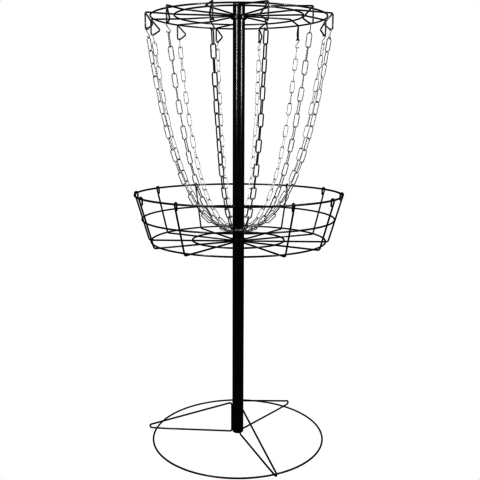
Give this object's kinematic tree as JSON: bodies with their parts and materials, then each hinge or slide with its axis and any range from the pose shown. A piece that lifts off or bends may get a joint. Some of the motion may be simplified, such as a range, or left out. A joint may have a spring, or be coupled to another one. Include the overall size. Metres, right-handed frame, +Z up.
{
  "type": "disc golf basket",
  "caption": "Portable disc golf basket: wire base, steel pole, open wire catching basket and a wire rack of zinc chains that hang to a collector ring.",
  "frame": {"origin": "on the ground, on the axis of the pole", "axes": "+Z up along the pole; -Y towards the viewer in front; +X to that viewer's right"},
  "size_m": [0.6682, 0.6682, 1.4024],
  "materials": {
    "black_powder_coat": "gloss black powder coat",
    "black_plastic": "moulded black plastic",
    "black_steel": "black oxide",
    "bright_zinc": "bright zinc plate"
  },
  "bodies": {
    "stand": {"base_leg_1": "black_powder_coat", "base_leg_2": "black_powder_coat", "base_leg_3": "black_powder_coat", "base_ring": "black_powder_coat", "lower_pole": "black_powder_coat", "upper_pole": "black_powder_coat", "pole_foot_cap": "black_plastic", "pole_top_cap": "black_plastic", "basket_spoke_01": "black_powder_coat", "basket_spoke_02": "black_powder_coat", "basket_spoke_03": "black_powder_coat", "basket_spoke_04": "black_powder_coat", "basket_spoke_05": "black_powder_coat", "basket_spoke_06": "black_powder_coat", "basket_spoke_07": "black_powder_coat", "basket_spoke_08": "black_powder_coat", "basket_spoke_09": "black_powder_coat", "basket_spoke_10": "black_powder_coat", "basket_spoke_11": "black_powder_coat", "basket_spoke_12": "black_powder_coat", "basket_rim": "black_powder_coat", "basket_middle_ring": "black_powder_coat", "basket_bottom_ring": "black_powder_coat", "basket_floor_ring": "black_powder_coat", "basket_hub": "black_powder_coat", "basket_hub_screw": "black_steel", "rack_spoke_01": "black_powder_coat", "rack_spoke_02": "black_powder_coat", "rack_spoke_03": "black_powder_coat", "rack_spoke_04": "black_powder_coat", "rack_spoke_05": "black_powder_coat", "rack_spoke_06": "black_powder_coat", "rack_spoke_07": "black_powder_coat", "rack_spoke_08": "black_powder_coat", "rack_spoke_09": "black_powder_coat", "rack_spoke_10": "black_powder_coat", "rack_spoke_11": "black_powder_coat", "rack_spoke_12": "black_powder_coat", "rack_outer_ring": "black_powder_coat", "rack_inner_ring": "black_powder_coat", "rack_hub": "black_powder_coat", "rack_hub_screw": "black_steel"},
    "chain_01": {"chain_strand_01": "bright_zinc"},
    "chain_02": {"chain_strand_02": "bright_zinc"},
    "chain_03": {"chain_strand_03": "bright_zinc"},
    "chain_04": {"chain_strand_04": "bright_zinc"},
    "chain_05": {"chain_strand_05": "bright_zinc"},
    "chain_06": {"chain_strand_06": "bright_zinc"},
    "chain_07": {"chain_strand_07": "bright_zinc"},
    "chain_08": {"chain_strand_08": "bright_zinc"},
    "chain_09": {"chain_strand_09": "bright_zinc"},
    "chain_10": {"chain_strand_10": "bright_zinc"},
    "chain_11": {"chain_strand_11": "bright_zinc"},
    "chain_12": {"chain_strand_12": "bright_zinc"},
    "collector_ring": {"chain_collector_ring": "bright_zinc"}
  },
  "joints": [
    {"name": "chain_01_swing", "type": "hinge", "parent": "stand", "child": "chain_01", "pos_m": [0.27016, 0.07435, 1.31608], "axis": [0.3715, 0.1018, 0.9228], "range_deg": [-25, 25]},
    {"name": "chain_02_swing", "type": "hinge", "parent": "stand", "child": "chain_02", "pos_m": [0.19679, 0.19947, 1.31608], "axis": [0.2708, 0.2739, 0.9228], "range_deg": [-25, 25]},
    {"name": "chain_03_swing", "type": "hinge", "parent": "stand", "child": "chain_03", "pos_m": [0.07069, 0.27114, 1.31608], "axis": [0.0976, 0.3726, 0.9228], "range_deg": [-25, 25]},
    {"name": "chain_04_swing", "type": "hinge", "parent": "stand", "child": "chain_04", "pos_m": [-0.07435, 0.27016, 1.31608], "axis": [-0.1018, 0.3715, 0.9228], "range_deg": [-25, 25]},
    {"name": "chain_05_swing", "type": "hinge", "parent": "stand", "child": "chain_05", "pos_m": [-0.19947, 0.19679, 1.31608], "axis": [-0.2739, 0.2708, 0.9228], "range_deg": [-25, 25]},
    {"name": "chain_06_swing", "type": "hinge", "parent": "stand", "child": "chain_06", "pos_m": [-0.27114, 0.07069, 1.31608], "axis": [-0.3726, 0.0976, 0.9228], "range_deg": [-25, 25]},
    {"name": "chain_07_swing", "type": "hinge", "parent": "stand", "child": "chain_07", "pos_m": [-0.27016, -0.07435, 1.31608], "axis": [-0.3715, -0.1018, 0.9228], "range_deg": [-25, 25]},
    {"name": "chain_08_swing", "type": "hinge", "parent": "stand", "child": "chain_08", "pos_m": [-0.19679, -0.19947, 1.31608], "axis": [-0.2708, -0.2739, 0.9228], "range_deg": [-25, 25]},
    {"name": "chain_09_swing", "type": "hinge", "parent": "stand", "child": "chain_09", "pos_m": [-0.07069, -0.27114, 1.31608], "axis": [-0.0976, -0.3726, 0.9228], "range_deg": [-25, 25]},
    {"name": "chain_10_swing", "type": "hinge", "parent": "stand", "child": "chain_10", "pos_m": [0.07435, -0.27016, 1.31608], "axis": [0.1018, -0.3715, 0.9228], "range_deg": [-25, 25]},
    {"name": "chain_11_swing", "type": "hinge", "parent": "stand", "child": "chain_11", "pos_m": [0.19947, -0.19679, 1.31608], "axis": [0.2739, -0.2708, 0.9228], "range_deg": [-25, 25]},
    {"name": "chain_12_swing", "type": "hinge", "parent": "stand", "child": "chain_12", "pos_m": [0.27114, -0.07069, 1.31608], "axis": [0.3726, -0.0976, 0.9228], "range_deg": [-25, 25]},
    {"name": "collector_ring_turn", "type": "hinge", "parent": "stand", "child": "collector_ring", "pos_m": [0, 0, 0.7094], "axis": [0, 0, 1], "continuous": true}
  ]
}
